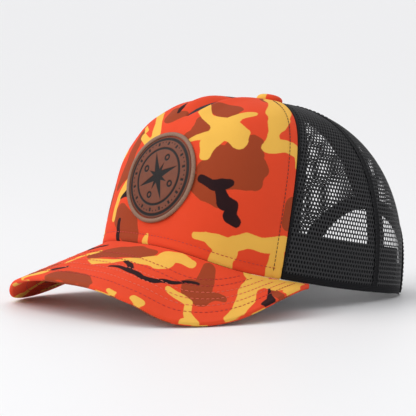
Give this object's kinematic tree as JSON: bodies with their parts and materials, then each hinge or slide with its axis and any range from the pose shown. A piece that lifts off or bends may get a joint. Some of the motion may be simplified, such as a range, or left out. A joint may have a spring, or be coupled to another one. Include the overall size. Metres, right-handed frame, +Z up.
{
  "type": "trucker mesh cap",
  "caption": "Trucker cap with a foam-backed camouflage front, mesh sides and rear, curved brim, round badge and an adjustable snap strap.",
  "frame": {"origin": "middle of the footprint, on the surface that the cap stands on", "axes": "+Z up, -Y towards the front of the brim, +X to the wearer's left; the cap stands on its brim's two sides and the rear of its crown, so the crown is tipped back"},
  "size_m": [0.1996, 0.257, 0.1336],
  "materials": {
    "camo_fabric": "printed cotton twill, matt",
    "foam": "foam backing faced with knit, matt",
    "mesh": "open polyester net, satin",
    "black_tape": "woven cotton tape, matt",
    "sweat_cotton": "cotton twill sweatband, matt",
    "snap_plastic": "moulded, satin",
    "board": "flexible brim board",
    "patch_hide": "smooth leather, burnished",
    "patch_thread": "overlocked edge thread",
    "metal": "stamped",
    "label_cloth": "woven tape, blank"
  },
  "bodies": {
    "cap": {"front_panel": "camo_fabric", "front_foam": "foam", "side_mesh_left": "mesh", "side_mesh_right": "mesh", "rear_mesh_left": "mesh", "rear_mesh_right": "mesh", "front_seam_tape_left": "black_tape", "front_seam_tape_right": "black_tape", "side_seam_tape_left": "black_tape", "side_seam_tape_right": "black_tape", "rear_seam_tape": "black_tape", "dart_tape": "black_tape", "mesh_hem_left": "mesh", "mesh_hem_right": "mesh", "arch_binding": "black_tape", "sweatband": "sweat_cotton", "care_label": "label_cloth", "brim_cover_top": "camo_fabric", "brim_cover_under": "camo_fabric", "brim_edge_fold": "camo_fabric", "brim_board": "board", "button_shell": "camo_fabric", "button_shank": "metal", "button_washer": "metal", "patch_leather": "patch_hide", "patch_border": "patch_thread", "hole_strap_root": "snap_plastic", "peg_strap_root": "snap_plastic"},
    "hole_strap": {"hole_strap": "snap_plastic"},
    "peg_strap": {"peg_strap": "snap_plastic"}
  },
  "joints": [
    {"name": "hole_strap_swing", "type": "hinge", "parent": "cap", "child": "hole_strap", "pos_m": [0.04283, 0.11495, 0.0117], "axis": [0, 0, -1], "range_deg": [0, 50], "stiffness_Nm_per_rad": 0.01},
    {"name": "peg_strap_swing", "type": "hinge", "parent": "cap", "child": "peg_strap", "pos_m": [-0.04283, 0.11495, 0.0117], "axis": [0, 0, -1], "range_deg": [0, 35], "stiffness_Nm_per_rad": 0.01}
  ]
}
